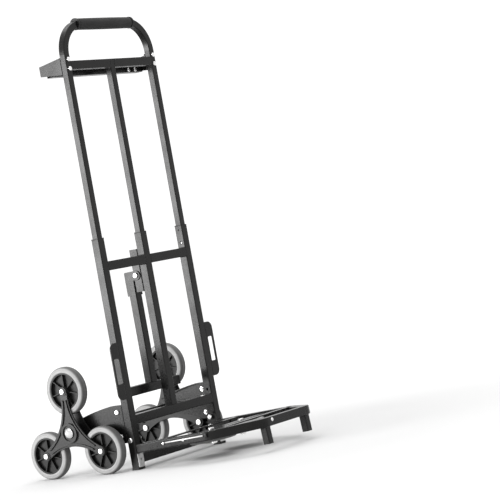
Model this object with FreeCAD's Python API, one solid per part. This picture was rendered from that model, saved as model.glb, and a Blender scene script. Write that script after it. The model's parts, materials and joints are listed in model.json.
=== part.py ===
# Stair climbing trolley: a telescopic hand truck on two three-wheel tri-stars,
# with a folding toe frame that stores two spare wheels and a folding prop leg.
# Millimetres. +Z up, the toe points to -Y, the tri-stars are behind at +Y.
# The origin is on the floor, at the middle of the footprint. The parts are drawn with the
# front faces of the rails at y = 0 and moved there when they are saved.
import FreeCAD, Part
import math
import os

V = FreeCAD.Vector
os.makedirs("parts", exist_ok=True)

# ---- driving dimensions ----
RAIL = 25.0            # outer lower tube, square
RAIL_WALL = 1.5
RAIL_X = 182.5         # centre of each outer rail
RAIL_Y = 12.5          # every rail is centred here
RAIL_TOP = 619.0
COLLAR_TOP = 622.0
INNER = 20.0           # telescoping inner tube, square
INNER_WALL = 1.5
STROKE = 415.0         # how far the handle slides down
LEG_BOTTOM = 505.0     # lower end of the handle legs, handle out
CENTRE_BOTTOM = 567.0  # lower end of the centre inner tube, handle out

GRIP_Z = 1199.0
GRIP_R = 16.0
GRIP_HALF = 112.0
HANDLE_BEND = 82.0

BAR = 25.0             # height and depth of the frame cross bars
UPPER_BAR_Z = 533.0
BOTTOM_BAR_Z = 118.5
FOOT_BAR_Z = 16.5

HUB_Y = 183.0
HUB_Z = 121.5
STAR_R = 113.0         # hub to wheel centre
WHEEL_R = 65.0
WHEEL_W = 26.0
TYRE_IN = 50.0
WHEEL_X = 218.5        # middle plane of the wheels
AXLE_R = 8.0
BOLT_R = 5.0           # wheel bolt
FIT = 0.05             # radial play of a running fit

WING_X = 195.0         # outer face of the wing plates
WING_T = 3.0
WING_BOLT_Y = 42.0
WING_BOLT_Z = (92.0, 158.0)

TOE_PIVOT = (12.5, 80.0)   # y and z of the toe hinge
TOE_RISE = 3.4             # degrees the toe points up at its lower stop
TOE_LOW = 43.7
TOE_HIGH = 67.0
TOE_BEND_Y = -245.0
TOE_FRONT_Y = -353.5
TOE_FRONT_X = 100.0
TOE_FOOT_X = 90.0
TOE_FOOT = 20.0            # square tube of the toe feet
TOE_FOOT_Y = TOE_FRONT_Y + (RAIL - TOE_FOOT) / 2.0
SPARE_X = 67.5
SPARE_Y = -160.0
SPARE_LOW = 32.0

PROP_PIVOT = (42.0, 506.0)  # y and z of the prop leg hinge
PROP_Y = (55.0, 80.0)
PROP_FOOT_Z = 187.0         # underside of the leg's cross foot
PROP_FOOT_HALF = 112.0

BUTTON_Z = 572.0
BUTTON_R = 3.5
BUTTON_TIP = 171.8     # inner end of a lock button pressed in behind the rail wall
BUTTON_TRAVEL = 4.8    # from there to sticking out through the rail
TOE_ANGLE = math.radians(TOE_RISE)
TOE_REACH = TOE_PIVOT[0] - TOE_FRONT_Y + RAIL / 2.0
TOE_DROP = TOE_PIVOT[1] - TOE_LOW
FOOTPRINT_FRONT = TOE_PIVOT[0] - TOE_REACH * math.cos(TOE_ANGLE) - TOE_DROP * math.sin(TOE_ANGLE)
FOOTPRINT_BACK = HUB_Y + STAR_R * math.sqrt(0.75) + WHEEL_R
SHIFT_Y = -(FOOTPRINT_FRONT + FOOTPRINT_BACK) / 2.0
HOOK_BOLT_Z = (1079.0, 1104.0)

# star phase: one wheel up, two on the floor
ARM_ANGLES = (90.0, 210.0, 330.0)


# ---- small helpers ----
def box(x0, x1, y0, y1, z0, z1):
    return Part.makeBox(x1 - x0, y1 - y0, z1 - z0, V(x0, y0, z0))


def rod(axis, centre, radius, length):
    """A cylinder centred on a point, along one axis."""
    direction = {"x": V(1, 0, 0), "y": V(0, 1, 0), "z": V(0, 0, 1)}[axis]
    base = V(*centre) - direction * (length / 2.0)
    return Part.makeCylinder(radius, length, base, direction)


def rounded_wire(width, depth, radius):
    """A rectangle with rounded corners, centred on the origin in XY."""
    a = width / 2.0
    b = depth / 2.0
    c = radius * (1 - math.sqrt(0.5))
    lines = [
        Part.makeLine(V(-a + radius, -b, 0), V(a - radius, -b, 0)),
        Part.Arc(V(a - radius, -b, 0), V(a - c, -b + c, 0), V(a, -b + radius, 0)).toShape(),
        Part.makeLine(V(a, -b + radius, 0), V(a, b - radius, 0)),
        Part.Arc(V(a, b - radius, 0), V(a - c, b - c, 0), V(a - radius, b, 0)).toShape(),
        Part.makeLine(V(a - radius, b, 0), V(-a + radius, b, 0)),
        Part.Arc(V(-a + radius, b, 0), V(-a + c, b - c, 0), V(-a, b - radius, 0)).toShape(),
        Part.makeLine(V(-a, b - radius, 0), V(-a, -b + radius, 0)),
        Part.Arc(V(-a, -b + radius, 0), V(-a + c, -b + c, 0), V(-a + radius, -b, 0)).toShape(),
    ]
    return Part.Wire(lines)


def post(x, y, z0, z1, width, depth, wall, radius=2.5):
    """A square tube standing along Z; wall 0 makes it solid."""
    outer = Part.Face(rounded_wire(width, depth, radius)).extrude(V(0, 0, z1 - z0))
    if wall > 0:
        hole = rounded_wire(width - 2 * wall, depth - 2 * wall, max(radius - wall, 0.6))
        outer = outer.cut(Part.Face(hole).extrude(V(0, 0, z1 - z0)))
    outer.translate(V(x, y, z0))
    return outer


def beam(x0, x1, y, z, depth, height, wall, radius=2.5):
    """A rectangular tube lying along X, centred on y and z."""
    shape = post(0, 0, 0, x1 - x0, height, depth, wall, radius)
    shape.rotate(V(0, 0, 0), V(0, 1, 0), 90)
    shape.translate(V(x0, y, z))
    return shape


def plate_x(x0, x1, wire_edges):
    """A flat plate in a YZ outline, from x0 to x1."""
    face = Part.Face(Part.Wire(wire_edges))
    shape = face.extrude(V(x1 - x0, 0, 0))
    shape.translate(V(x0, 0, 0))
    return shape


def poly_x(x0, x1, points):
    pts = [V(0, y, z) for y, z in points]
    return Part.Face(Part.makePolygon(pts + [pts[0]])).extrude(V(x1 - x0, 0, 0)).translated(V(x0, 0, 0))


def round_corners(shape, radius, pick):
    edges = [e for e in shape.Edges if pick(e)]
    return shape.makeFillet(radius, edges)


def along(edge, axis):
    """True if an edge is straight and runs along the axis."""
    if edge.Curve.TypeId != "Part::GeomLine":
        return False
    d = edge.tangentAt(edge.FirstParameter)
    return abs(getattr(d, axis)) > 0.999


def bolt_head(x, y, z, sign, radius=6.5, height=3.5):
    """A low domed bolt head on a face whose normal is +X or -X."""
    disc = rod("x", (x + sign * height / 2.0, y, z), radius, height)
    rim = [e for e in disc.Edges if abs(e.CenterOfMass.x - (x + sign * height)) < 0.01]
    return disc.makeFillet(height * 0.6, rim)


def mirrored(shape):
    return shape.mirror(V(0, 0, 0), V(1, 0, 0))


def save(name, *shapes):
    shape = shapes[0] if len(shapes) == 1 else Part.makeCompound(list(shapes))
    shape.translated(V(0, SHIFT_Y, 0)).exportStep("parts/" + name + ".step")


def save_toe(name, *shapes):
    """Toe parts are drawn level and turned about the hinge to the angle of the lower stop."""
    turned = []
    for shape in shapes:
        copy = shape.copy()
        copy.rotate(V(0, TOE_PIVOT[0], TOE_PIVOT[1]), V(1, 0, 0), -TOE_RISE)
        turned.append(copy)
    save(name, *turned)


# ---- lower frame ----
def outer_rail():
    """Right-hand lower rail, with its hinge bore and the catch holes in its inner wall."""
    rail = post(RAIL_X, RAIL_Y, 4.0, RAIL_TOP, RAIL, RAIL, RAIL_WALL)
    rail = rail.cut(rod("x", (RAIL_X, TOE_PIVOT[0], TOE_PIVOT[1]), 4.1, 40))
    inner_face = RAIL_X - RAIL / 2.0
    for z in (BUTTON_Z, BUTTON_Z - STROKE):
        rail = rail.cut(rod("x", (inner_face, RAIL_Y, z), BUTTON_R + 0.4, 6))
    return rail.cut(rod("x", (inner_face, RAIL_Y, 608.0), 2.5, 6))


def centre_rail():
    return post(0, RAIL_Y, BOTTOM_BAR_Z + BAR, RAIL_TOP, RAIL, RAIL, RAIL_WALL)


def guide_bush(x):
    """A plastic bush in a rail mouth; the inner tube slides in it."""
    body = post(x, RAIL_Y, RAIL_TOP - 22.0, RAIL_TOP, 21.9, 21.9, 0, 1.0)
    lip = post(x, RAIL_Y, RAIL_TOP, COLLAR_TOP, RAIL + 0.8, RAIL + 0.8, 0, 2.9)
    bush = body.fuse(lip)
    return bush.cut(post(x, RAIL_Y, RAIL_TOP - 30.0, COLLAR_TOP + 5, INNER + 0.7, INNER + 0.7, 0, 2.4))


def cross_segments():
    """The two short bars welded between the centre rail and the outer rails."""
    x0 = RAIL / 2.0
    x1 = RAIL_X - RAIL / 2.0
    bar = beam(x0, x1, RAIL_Y, UPPER_BAR_Z + BAR / 2.0, BAR, BAR, RAIL_WALL)
    return [bar, mirrored(bar)]


def full_bar(z):
    """A bar that reaches from one outer rail to the other."""
    x1 = RAIL_X - RAIL / 2.0
    return beam(-x1, x1, RAIL_Y, z + BAR / 2.0, BAR, BAR, RAIL_WALL)


def foot_cap(x):
    """A plastic shoe: a short cup outside the tube end and a plug inside."""
    cup = post(x, RAIL_Y, 0.0, 6.0, RAIL + 2.0, RAIL + 2.0, 0, 3.5)
    cup = cup.cut(post(x, RAIL_Y, 4.0, 12.0, RAIL + 0.1, RAIL + 0.1, 0, 2.5))
    plug = post(x, RAIL_Y, 4.0, 16.0, RAIL - 2 * RAIL_WALL - 0.2, RAIL - 2 * RAIL_WALL - 0.2, 0, 1.0)
    return cup.fuse(plug)


def foot_pad(x):
    """A thin zinc guard plate on the front of a rail foot, with one hole."""
    pad = box(x - 11.5, x + 11.5, -1.2, 0.0, 6.5, 42.5)
    pad = round_corners(pad, 1.5, lambda e: along(e, "y"))
    return pad.cut(rod("y", (x, 0, 27.0), 2.2, 8))


def side_plate():
    """Right-hand grab plate: a round-ended plate with a long slot."""
    x0 = WING_X
    x1 = WING_X + 31.0
    z0 = 190.0
    z1 = 342.0
    plate = box(x0, x1, 0.0, 3.0, z0, z1)
    outer = [e for e in plate.Edges if along(e, "y") and abs(e.CenterOfMass.x - x1) < 0.1]
    plate = plate.makeFillet(18.0, outer)
    slot = box(x0 + 4.0, x1 - 7.0, -1.0, 4.0, 232.0, 300.0)
    slot = round_corners(slot, 3.0, lambda e: along(e, "y"))
    return plate.cut(slot)


def wing_plate():
    """Right-hand wing: a pressed plate from the rail back to the axle."""
    y0 = RAIL
    x0 = WING_X - WING_T
    edges = [
        Part.makeLine(V(0, y0, 74), V(0, y0, 176)),
        Part.makeLine(V(0, y0, 176), V(0, 62, 176)),
        Part.Arc(V(0, 62, 176), V(0, 128, 164), V(0, HUB_Y + 10, 146)).toShape(),
        Part.Arc(V(0, HUB_Y + 10, 146), V(0, HUB_Y + 25, HUB_Z), V(0, HUB_Y + 6, 98)).toShape(),
        Part.Arc(V(0, HUB_Y + 6, 98), V(0, 120, 92), V(0, 64, 74)).toShape(),
        Part.makeLine(V(0, 64, 74), V(0, y0, 74)),
    ]
    wing = plate_x(x0, x0 + WING_T, edges)
    top = [
        Part.makeLine(V(0, y0, 176), V(0, 62, 176)),
        Part.Arc(V(0, 62, 176), V(0, 128, 164), V(0, HUB_Y + 10, 146)).toShape(),
    ]
    path = Part.Wire(top)
    corners = [V(x0 - 9, y0, 176), V(x0, y0, 176), V(x0, y0, 173), V(x0 - 9, y0, 173)]
    strip = Part.Wire(Part.makePolygon(corners + corners[:1]))
    flange = path.makePipeShell([strip], True, False)
    wing = wing.fuse(flange)
    for z in WING_BOLT_Z:
        wing = wing.cut(rod("x", (x0, WING_BOLT_Y, z), 4.0, 20))
    return wing.cut(rod("x", (x0, HUB_Y, HUB_Z), AXLE_R, 30))


def wing_lug():
    """Right-hand angle welded behind the rail; the wing bolts on to it."""
    x1 = WING_X - WING_T
    web = box(x1 - 3.0, x1, RAIL, 60.0, 78.0, 170.0)
    back = box(x1 - 20.0, x1 - 3.0, RAIL, RAIL + 3.0, 78.0, 170.0)
    lug = web.fuse(back)
    for z in WING_BOLT_Z:
        lug = lug.cut(rod("x", (x1, WING_BOLT_Y, z), 4.0, 20))
    return lug


def wing_bolts():
    """Right-hand pair of bolts with nuts inside."""
    parts = []
    for z in WING_BOLT_Z:
        head = bolt_head(WING_X, WING_BOLT_Y, z, 1, 7.0, 4.0)
        x_in = WING_X - WING_T - 3.0
        shank = rod("x", ((WING_X + x_in - 9.0) / 2.0, WING_BOLT_Y, z), 4.0, WING_X - x_in + 9.0)
        nut = rod("x", (x_in - 3.0, WING_BOLT_Y, z), 6.5, 6.0)
        parts.append(head.fuse(shank).fuse(nut))
    return parts


def axle():
    """The rod both tri-stars turn on, held in the wings, with a collar inside each wing."""
    half = 239.0
    shaft = rod("x", (0, HUB_Y, HUB_Z), AXLE_R, 2 * half)
    for s in (-1, 1):
        shaft = shaft.fuse(rod("x", (s * 186.5, HUB_Y, HUB_Z), 13.0, 11.0))
    return shaft


def axle_cap():
    """Right-hand pressed dome cap on the axle end."""
    x0 = 239.0
    ring = rod("x", (x0 + 1.5, HUB_Y, HUB_Z), 14.0, 3.0)
    ball = Part.makeSphere(16.0, V(x0 - 5.0, HUB_Y, HUB_Z))
    dome = ball.common(box(x0 + 3.0, x0 + 20.0, HUB_Y - 20, HUB_Y + 20, HUB_Z - 20, HUB_Z + 20))
    return ring.fuse(dome)


def toe_pivot_bolt():
    """Right-hand toe hinge bolt, through the rail and the toe lug."""
    y, z = TOE_PIVOT
    head = bolt_head(WING_X, y, z, 1, 7.0, 4.0)
    shank = rod("x", ((WING_X + 160.0) / 2.0, y, z), 4.0, WING_X - 160.0)
    nut = rod("x", (160.5, y, z), 6.5, 7.0)
    return head.fuse(shank).fuse(nut)


def prop_post():
    """The short tube welded behind the centre rail that carries the prop leg."""
    y0 = RAIL
    tube = post(0, y0 + 14.0, 460.0, 577.0, RAIL, 28.0, RAIL_WALL)
    return tube.cut(rod("x", (0, PROP_PIVOT[0], PROP_PIVOT[1]), 4.0, 60))


def prop_pivot_bolt():
    y, z = PROP_PIVOT
    shank = rod("x", (0, y, z), 4.0, 34.0)
    head = bolt_head(-16.0, y, z, -1, 7.5, 4.0)
    nut = rod("x", (19.0, y, z), 6.5, 6.0)
    return shank.fuse(head).fuse(nut)


def lock_button(sign):
    """The spring button inside a handle leg, pressed in as far as lets the handle slide."""
    leg_wall = RAIL_X - INNER / 2.0 + INNER_WALL
    stop = leg_wall + 0.2 + BUTTON_TRAVEL
    crown = BUTTON_TIP + 1.2
    pin = rod("x", ((crown + stop + 4.0) / 2.0, RAIL_Y, BUTTON_Z), BUTTON_R, stop + 4.0 - crown)
    flange = rod("x", (stop + 0.6, RAIL_Y, BUTTON_Z), BUTTON_R + 1.8, 1.2)
    radius = (BUTTON_R ** 2 + 1.2 ** 2) / 2.4
    dome = Part.makeSphere(radius, V(BUTTON_TIP + radius, RAIL_Y, BUTTON_Z))
    dome = dome.common(box(BUTTON_TIP - 1.0, crown, 0, RAIL, BUTTON_Z - 8, BUTTON_Z + 8))
    button = pin.fuse(flange).fuse(dome)
    return button if sign > 0 else mirrored(button)


# ---- telescopic handle ----
def u_path(half, bottom, top, bend, y):
    """A U-shaped path: up one side, across, and down the other."""
    k = bend * (1 - math.sqrt(0.5))
    edges = [
        Part.makeLine(V(-half, y, bottom), V(-half, y, top - bend)),
        Part.Arc(V(-half, y, top - bend), V(-half + k, y, top - k), V(-half + bend, y, top)).toShape(),
        Part.makeLine(V(-half + bend, y, top), V(half - bend, y, top)),
        Part.Arc(V(half - bend, y, top), V(half - k, y, top - k), V(half, y, top - bend)).toShape(),
        Part.makeLine(V(half, y, top - bend), V(half, y, bottom)),
    ]
    return Part.Wire(edges)


def handle_tube():
    path = u_path(RAIL_X, LEG_BOTTOM, GRIP_Z, HANDLE_BEND, RAIL_Y)
    outer = rounded_wire(INNER, INNER, 2.5)
    outer.translate(V(-RAIL_X, RAIL_Y, LEG_BOTTOM))
    inner = rounded_wire(INNER - 2 * INNER_WALL, INNER - 2 * INNER_WALL, 1.0)
    inner.translate(V(-RAIL_X, RAIL_Y, LEG_BOTTOM))
    tube = path.makePipeShell([outer], True, False).cut(path.makePipeShell([inner], True, False))
    for s in (-1, 1):
        tube = tube.cut(rod("x", (s * (RAIL_X - INNER / 2.0), RAIL_Y, BUTTON_Z), BUTTON_R + FIT, 8))
        for z in HOOK_BOLT_Z:
            tube = tube.cut(rod("y", (s * RAIL_X, RAIL_Y, z), 3.0, 40))
    return tube


def centre_tube():
    return post(0, RAIL_Y, CENTRE_BOTTOM, 1099.5, INNER, INNER, INNER_WALL)


def handle_core(extra):
    """The solid space the handle tube fills, grown a little all round."""
    width = INNER + 2 * extra
    profile = rounded_wire(width, width, 2.5)
    profile.translate(V(-RAIL_X, RAIL_Y, LEG_BOTTOM))
    path = u_path(RAIL_X, LEG_BOTTOM, GRIP_Z, HANDLE_BEND, RAIL_Y)
    return path.makePipeShell([profile], True, False)


def grip():
    """The round foam sleeve over the straight top of the handle."""
    sleeve = rod("x", (0, RAIL_Y, GRIP_Z), GRIP_R, 2 * GRIP_HALF)
    ends = [e for e in sleeve.Edges if e.Curve.TypeId == "Part::GeomCircle"]
    sleeve = sleeve.makeFillet(2.0, ends)
    return sleeve.cut(handle_core(0.1))


def grip_ring(s):
    """A moulded ring that closes one end of the grip."""
    x = s * (GRIP_HALF + 3.5)
    ring = rod("x", (x, RAIL_Y, GRIP_Z), GRIP_R + 0.3, 6.6)
    ring = ring.makeFillet(1.2, [e for e in ring.Edges if e.Curve.TypeId == "Part::GeomCircle"])
    return ring.cut(handle_core(0.1))


def head_bar(sign):
    """Half of the handle's upper cross bar: a C channel open to the rear."""
    x0 = INNER / 2.0
    x1 = RAIL_X - INNER / 2.0
    z0 = 1076.5
    z1 = 1099.5
    web = box(x0, x1, 2.5, 4.5, z0, z1)
    top = box(x0, x1, 4.5, 22.5, z1 - 2.0, z1)
    low = box(x0, x1, 4.5, 22.5, z0, z0 + 2.0)
    bar = web.fuse(top).fuse(low).removeSplitter()
    return bar if sign > 0 else mirrored(bar)


def hook_plate():
    """Right-hand hook side plate: it tapers back from the handle leg."""
    x0 = RAIL_X + INNER / 2.0 - 2.5
    y0 = 22.5
    plate = poly_x(x0, x0 + 2.5, [(y0, 1065.0), (y0, 1111.0), (99.0, 1101.0), (99.0, 1074.0)])
    flange = box(x0 - 17.5, x0, y0, y0 + 2.5, 1065.0, 1111.0)
    shape = plate.fuse(flange)
    for z in HOOK_BOLT_Z:
        shape = shape.cut(rod("y", (RAIL_X, y0, z), 3.0, 12))
    return shape


def hook_bar():
    """The cross bar between the hook plates."""
    x1 = RAIL_X + INNER / 2.0 - 2.5
    return beam(-x1, x1, 66.0, 1077.0, 26.0, 22.0, 1.5)


def hook_bolts():
    """Right-hand pair of bolts through the handle leg into the hook plate."""
    parts = []
    for z in HOOK_BOLT_Z:
        shank = rod("y", (RAIL_X, 13.5, z), 3.0, 28.0)
        head = rod("y", (RAIL_X, 0.5, z), 6.0, 4.0)
        head = head.makeFillet(1.6, [e for e in head.Edges if abs(e.CenterOfMass.y + 1.5) < 0.01])
        parts.append(shank.fuse(head))
    return parts


# ---- folding toe ----
def toe_path(y_start, inset=0.0):
    """The toe loop's centreline: straight sides that bend in to a narrower front."""
    z = (TOE_LOW + TOE_HIGH) / 2.0
    pts = [V(-RAIL_X, y_start, z), V(-RAIL_X, TOE_BEND_Y, z), V(-TOE_FRONT_X, TOE_FRONT_Y, z),
           V(TOE_FRONT_X, TOE_FRONT_Y, z), V(RAIL_X, TOE_BEND_Y, z), V(RAIL_X, y_start, z)]
    radii = (60.0, 22.0, 22.0, 60.0)
    edges = []
    here = pts[0]
    for i in range(1, 5):
        a = (pts[i - 1] - pts[i]).normalize()
        b = (pts[i + 1] - pts[i]).normalize()
        half = math.acos(max(-1, min(1, a.dot(b)))) / 2.0
        run = radii[i - 1] / math.tan(half)
        p = pts[i] + a * run
        q = pts[i] + b * run
        middle = (a + b).normalize()
        m = pts[i] + middle * (radii[i - 1] / math.sin(half) - radii[i - 1])
        edges.append(Part.makeLine(here, p))
        edges.append(Part.Arc(p, m, q).toShape())
        here = q
    edges.append(Part.makeLine(here, pts[5]))
    return Part.Wire(edges)


def toe_tube_profile(width, height, radius, y_start):
    wire = rounded_wire(width, height, radius)
    wire.rotate(V(0, 0, 0), V(1, 0, 0), 90)
    wire.translate(V(-RAIL_X, y_start, (TOE_LOW + TOE_HIGH) / 2.0))
    return wire


def toe_loop():
    y0 = -1.0
    path = toe_path(y0)
    height = TOE_HIGH - TOE_LOW
    outer = path.makePipeShell([toe_tube_profile(RAIL, height, 2.5, y0)], True, False)
    inner = path.makePipeShell([toe_tube_profile(RAIL - 3, height - 3, 1.0, y0)], True, False)
    return outer.cut(inner)


def toe_side():
    """Right-hand straight side of the toe loop."""
    return toe_loop().common(box(0, 300, TOE_BEND_Y + 40.0, 10, 0, 100))


def toe_corner():
    """Right-hand bend of the toe loop."""
    return toe_loop().common(box(TOE_FRONT_X - 20.0, 300, -500, TOE_BEND_Y + 40.0, 0, 100))


def toe_front():
    x = TOE_FRONT_X - 20.0
    return toe_loop().common(box(-x, x, -500, TOE_BEND_Y, 0, 100))


def toe_lug():
    """Right-hand hinge lug: a plate inside the rail, welded inside the toe side."""
    x1 = RAIL_X - RAIL / 2.0 - 0.4
    x0 = x1 - 4.0
    y, z = TOE_PIVOT
    edges = [
        Part.makeLine(V(0, -46, TOE_LOW + 0.3), V(0, 22, TOE_LOW + 0.3)),
        Part.Arc(V(0, 22, TOE_LOW + 0.3), V(0, 27, 56), V(0, y + 13, z)).toShape(),
        Part.Arc(V(0, y + 13, z), V(0, y, z + 13), V(0, y - 13, z)).toShape(),
        Part.makeLine(V(0, y - 13, z), V(0, y - 16, TOE_HIGH)),
        Part.makeLine(V(0, y - 16, TOE_HIGH), V(0, -46, TOE_HIGH)),
        Part.makeLine(V(0, -46, TOE_HIGH), V(0, -46, TOE_LOW + 0.3)),
    ]
    lug = plate_x(x0, x1, edges)
    weld = box(x1, x1 + 0.4, -44.0, -3.0, TOE_LOW + 3.0, TOE_HIGH - 3.0)
    return lug.fuse(weld).cut(rod("x", (x0, y, z), 4.0 + FIT, 20))


def toe_strap(y, width, z):
    """A flat cross strap between the toe sides."""
    x1 = RAIL_X - RAIL / 2.0
    return box(-x1, x1, y - width / 2.0, y + width / 2.0, z, z + 3.0)


def spare_strap():
    """The strap the spare wheels hang from, with its two bolt holes."""
    strap = toe_strap(SPARE_Y, 30.0, SPARE_LOW + WHEEL_W + 1.2)
    for x in (-SPARE_X, SPARE_X):
        strap = strap.cut(rod("z", (x, SPARE_Y, 60.0), BOLT_R, 30))
    return strap


def toe_foot(x):
    """A foot tube, flush with the back of the front tube it stands under."""
    return post(x, TOE_FOOT_Y, 4.0, TOE_LOW, TOE_FOOT, TOE_FOOT, RAIL_WALL)


def toe_foot_cap(x):
    plug_width = TOE_FOOT - 2 * RAIL_WALL - 0.2
    cap = post(x, TOE_FOOT_Y, 0.0, 4.0, TOE_FOOT, TOE_FOOT, 0, 2.5)
    plug = post(x, TOE_FOOT_Y, 4.0, 14.0, plug_width, plug_width, 0, 1.0)
    return cap.fuse(plug)


def spare_bolt(x):
    """The bolt a spare wheel is stored on; its head is on top of the strap."""
    top = SPARE_LOW + WHEEL_W + 4.2
    shank = rod("z", (x, SPARE_Y, (top + 24.0) / 2.0), BOLT_R, top - 24.0)
    head = rod("z", (x, SPARE_Y, top + 2.0), 8.0, 4.0)
    head = head.makeFillet(1.5, [e for e in head.Edges if abs(e.CenterOfMass.z - top - 4.0) < 0.01])
    nut = rod("z", (x, SPARE_Y, 28.2), 8.5, 6.0)
    return shank.fuse(head).fuse(nut)


# ---- wheels ----
def tyre():
    """A tyre about the X axis at the origin, with rounded shoulders."""
    h = WHEEL_W / 2.0
    edges = [
        Part.makeLine(V(-h, TYRE_IN, 0), V(-h, WHEEL_R - 7, 0)),
        Part.Arc(V(-h, WHEEL_R - 7, 0), V(2.6 - h, WHEEL_R - 2, 0), V(7.5 - h, WHEEL_R - 0.3, 0)).toShape(),
        Part.Arc(V(7.5 - h, WHEEL_R - 0.3, 0), V(0, WHEEL_R, 0), V(h - 7.5, WHEEL_R - 0.3, 0)).toShape(),
        Part.Arc(V(h - 7.5, WHEEL_R - 0.3, 0), V(h - 2.6, WHEEL_R - 2, 0), V(h, WHEEL_R - 7, 0)).toShape(),
        Part.makeLine(V(h, WHEEL_R - 7, 0), V(h, TYRE_IN, 0)),
        Part.makeLine(V(h, TYRE_IN, 0), V(-h, TYRE_IN, 0)),
    ]
    face = Part.Face(Part.Wire(edges))
    return face.revolve(V(0, 0, 0), V(1, 0, 0), 360)


def rim():
    """A moulded rim about the X axis: felloe, web, hub and seven radial ribs."""
    h = WHEEL_W / 2.0
    felloe = rod("x", (0, 0, 0), TYRE_IN, WHEEL_W - 2.0).cut(rod("x", (0, 0, 0), TYRE_IN - 4.5, WHEEL_W))
    web = rod("x", (0, 0, 0), TYRE_IN - 4.0, 5.0)
    hub = rod("x", (0, 0, 0), 13.0, WHEEL_W - 0.6)
    body = felloe.fuse(web).fuse(hub)
    for i in range(7):
        rib = box(-h + 3.0, h - 3.0, -1.3, 1.3, 11.0, TYRE_IN - 3.5)
        rib.rotate(V(0, 0, 0), V(1, 0, 0), i * 360.0 / 7.0)
        body = body.fuse(rib)
    return body.cut(rod("x", (0, 0, 0), BOLT_R + FIT, 60)).removeSplitter()


def arm_point(angle, radius=STAR_R):
    a = math.radians(angle)
    return (HUB_Y + radius * math.cos(a), HUB_Z + radius * math.sin(a))


# ---- tri-star ----
def spider_outline(x0, x1, tip=13.0, waist=37.0):
    """Three round-ended arms joined by concave arcs, as a flat plate."""
    c60 = STAR_R * 0.5
    s60 = STAR_R * math.sqrt(0.75)
    hollow = (s60 ** 2 + (waist - c60) ** 2 - tip ** 2) / (2 * (tip + c60 - waist))
    far = waist + hollow
    edges = []
    for arm in ARM_ANGLES:
        side = arm + 60.0

        def spot(r_along, r_across):
            a = math.radians(side)
            y = HUB_Y + r_along * math.cos(a) - r_across * math.sin(a)
            z = HUB_Z + r_along * math.sin(a) + r_across * math.cos(a)
            return V(0, y, z)

        k = hollow / (hollow + tip)
        along_t = far + (c60 - far) * k
        across_t = s60 * k
        edges.append(Part.Arc(spot(along_t, -across_t), spot(waist, 0), spot(along_t, across_t)).toShape())
        tip_y, tip_z = arm_point(arm + 120.0, STAR_R + tip)
        nxt = math.radians(side + 120.0)
        end = V(0, HUB_Y + along_t * math.cos(nxt) + across_t * math.sin(nxt),
                HUB_Z + along_t * math.sin(nxt) - across_t * math.cos(nxt))
        edges.append(Part.Arc(spot(along_t, across_t), V(0, tip_y, tip_z), end).toShape())
    return plate_x(x0, x1, edges), far, hollow


def spider(outward):
    """One moulded spider of the right-hand tri-star: the outer one is ribbed, the inner one
    carries the hub sleeve that spaces the two apart round the axle."""
    if outward:
        x0, x1, rib_to = 232.5, 236.5, 240.0
        boss = (232.5, 242.0)
    else:
        x0, x1, rib_to = 200.5, 204.5, 200.5
        boss = (199.0, 204.5)
    plate, far, hollow = spider_outline(x0, x1)
    plate = plate.fuse(rod("x", ((boss[0] + boss[1]) / 2.0, HUB_Y, HUB_Z), 27.0, boss[1] - boss[0]))
    if outward:
        plate = plate.cut(rod("x", (boss[1], HUB_Y, HUB_Z), 21.0, 6.8))
        outline = spider_outline(x1, rib_to)[0]
        for arm in ARM_ANGLES:
            y, z = arm_point(arm)
            plate = plate.fuse(rod("x", ((x0 + 238.0) / 2.0, y, z), 12.0, 238.0 - x0))
            side = math.radians(arm + 60.0)
            cy = HUB_Y + far * math.cos(side)
            cz = HUB_Z + far * math.sin(side)
            band = rod("x", ((x1 + rib_to) / 2.0, cy, cz), hollow + 8.5, rib_to - x1)
            band = band.cut(rod("x", ((x1 + rib_to) / 2.0, cy, cz), hollow + 4.5, rib_to))
            keep = band.common(outline)
            for tip_arm in (arm, arm + 120.0):
                ty, tz = arm_point(tip_arm)
                keep = keep.cut(rod("x", (x1, ty, tz), 24.0, 20))
            plate = plate.fuse(keep)
    else:
        plate = plate.fuse(rod("x", (WHEEL_X, HUB_Y, HUB_Z), 15.0, 28.0))
    for arm in ARM_ANGLES:
        y, z = arm_point(arm)
        plate = plate.cut(rod("x", (x0, y, z), BOLT_R + 0.1, 40))
    return plate.cut(rod("x", (x0, HUB_Y, HUB_Z), AXLE_R + FIT, 90))


def star_bolts():
    """The three wheel bolts of the right-hand tri-star, with heads and nuts."""
    parts = []
    for arm in ARM_ANGLES:
        y, z = arm_point(arm)
        shank = rod("x", ((199.0 + 238.0) / 2.0, y, z), BOLT_R, 39.0)
        head = bolt_head(238.0, y, z, 1, 7.5, 4.0)
        nut = rod("x", (198.25, y, z), 7.5, 4.5)
        parts.append(shank.fuse(head).fuse(nut))
    return parts


# ---- prop leg ----
def prop_leg():
    return post(0, sum(PROP_Y) / 2.0, PROP_FOOT_Z + BAR, 492.0, RAIL, RAIL, RAIL_WALL)


def prop_foot():
    """The cross tube welded under the prop leg, so that it stands on a wide line."""
    x1 = PROP_FOOT_HALF - 3.0
    return beam(-x1, x1, sum(PROP_Y) / 2.0, PROP_FOOT_Z + BAR / 2.0, BAR, BAR, RAIL_WALL)


def prop_foot_cap():
    """The right-hand plastic end cap of the cross foot."""
    y = sum(PROP_Y) / 2.0
    z = PROP_FOOT_Z + BAR / 2.0
    x1 = PROP_FOOT_HALF - 3.0
    plug = BAR - 2 * RAIL_WALL - 0.2
    return beam(x1, x1 + 3.0, y, z, BAR, BAR, 0).fuse(beam(x1 - 12.0, x1, y, z, plug, plug, 0, 1.0))


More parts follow.
